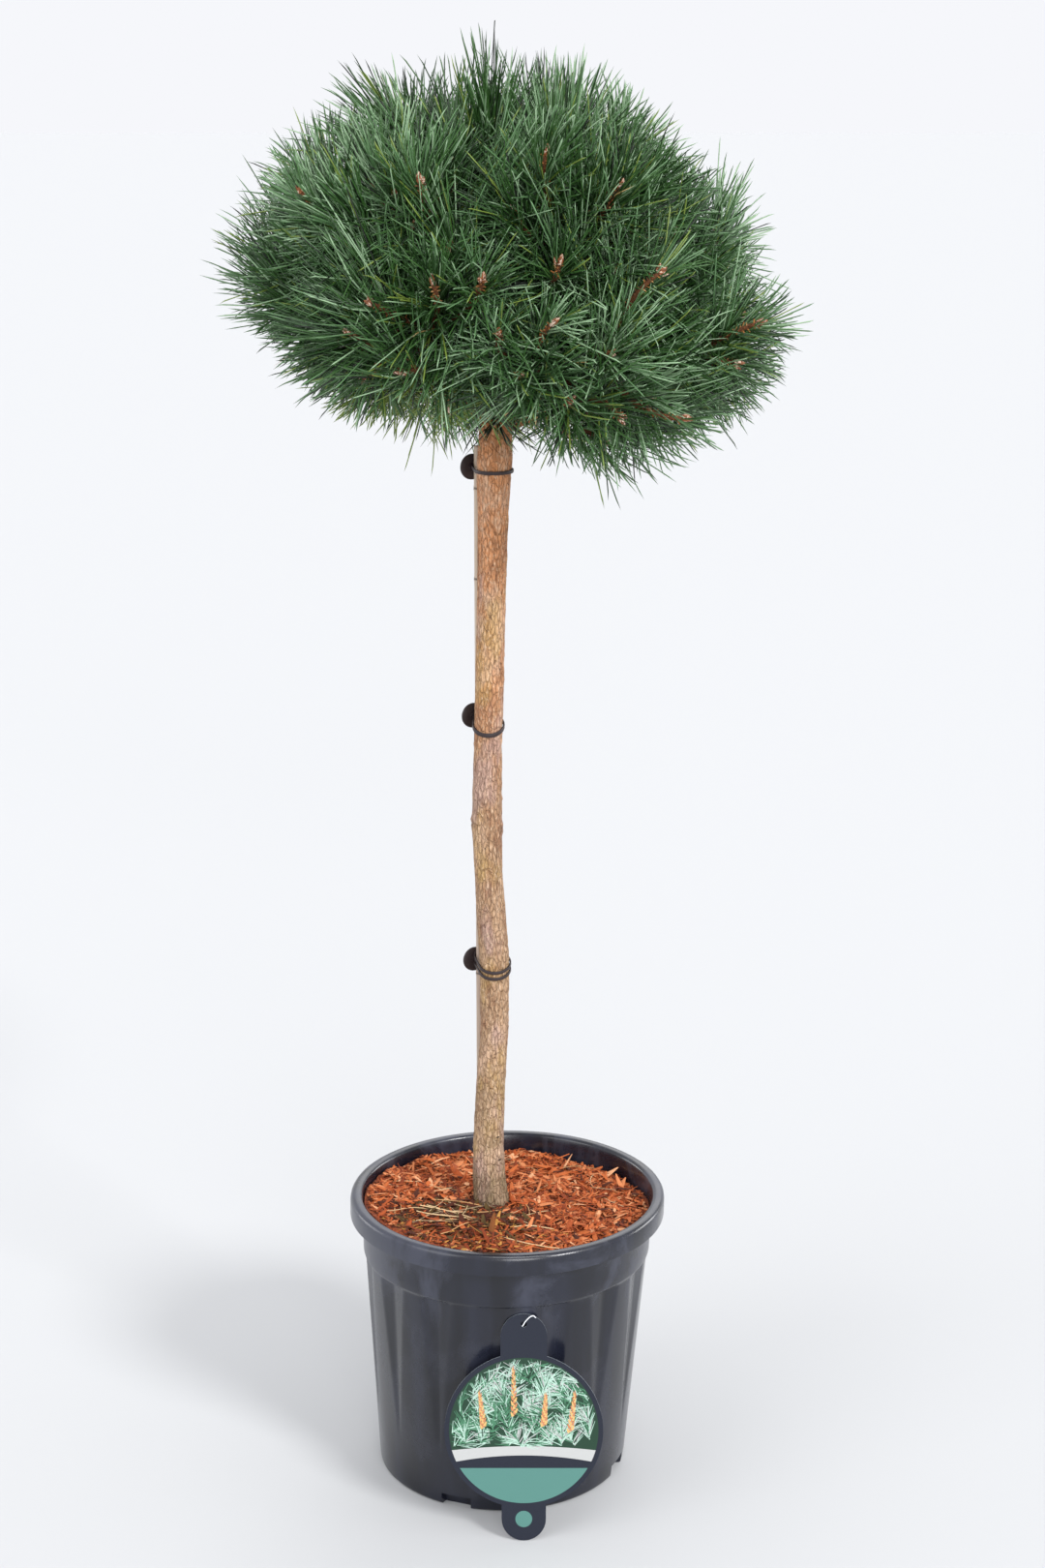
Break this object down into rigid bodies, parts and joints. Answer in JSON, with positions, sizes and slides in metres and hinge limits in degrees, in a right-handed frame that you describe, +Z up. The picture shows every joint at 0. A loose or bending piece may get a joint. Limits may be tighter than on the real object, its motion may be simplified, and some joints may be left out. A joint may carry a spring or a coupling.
{
  "type": "potted scots pine tree",
  "caption": "Grafted scots pine standard: a clear stem, tied to a cane, rises from a round nursery pot to a broad rounded head of long needles. A plain label leans on the pot.",
  "frame": {"origin": "on the flat underside of the pot, straight below the middle of its mouth", "axes": "+Z up along the stem, -Y to the front where the label leans, +X to the right seen from the front"},
  "size_m": [0.5516, 0.4924, 1.3696],
  "materials": {
    "pot_plastic": "satin",
    "growing_medium": "matte",
    "bark_mulch": "matte",
    "trunk_bark": "matte",
    "bough_bark": "matte",
    "cane_bamboo": "satin",
    "needles": "satin",
    "tie_rubber": "matte",
    "label_card": "gloss"
  },
  "bodies": {
    "root": {"pot": "pot_plastic", "growing_medium": "growing_medium", "bark_mulch": "bark_mulch", "trunk": "trunk_bark", "support_cane": "cane_bamboo", "bough_lower_front_left": "bough_bark", "bough_lower_front_right": "bough_bark", "bough_lower_right": "bough_bark", "bough_lower_back_right": "bough_bark", "bough_lower_back_left": "bough_bark", "bough_lower_left": "bough_bark", "bough_upper_front_left": "bough_bark", "bough_upper_front_right": "bough_bark", "bough_upper_right": "bough_bark", "bough_upper_back": "bough_bark", "bough_upper_left": "bough_bark", "bough_top_left": "bough_bark", "bough_top_right": "bough_bark", "bough_top_back": "bough_bark", "foliage_lower_front_left": "needles", "foliage_lower_front_right": "needles", "foliage_lower_right": "needles", "foliage_lower_back_right": "needles", "foliage_lower_back_left": "needles", "foliage_lower_left": "needles", "foliage_upper_front_left": "needles", "foliage_upper_front_right": "needles", "foliage_upper_right": "needles", "foliage_upper_back": "needles", "foliage_upper_left": "needles", "foliage_top_left": "needles", "foliage_top_right": "needles", "foliage_top_back": "needles", "tie_top": "tie_rubber", "tie_middle": "tie_rubber", "tie_lower": "tie_rubber", "label": "label_card"}
  },
  "joints": []
}
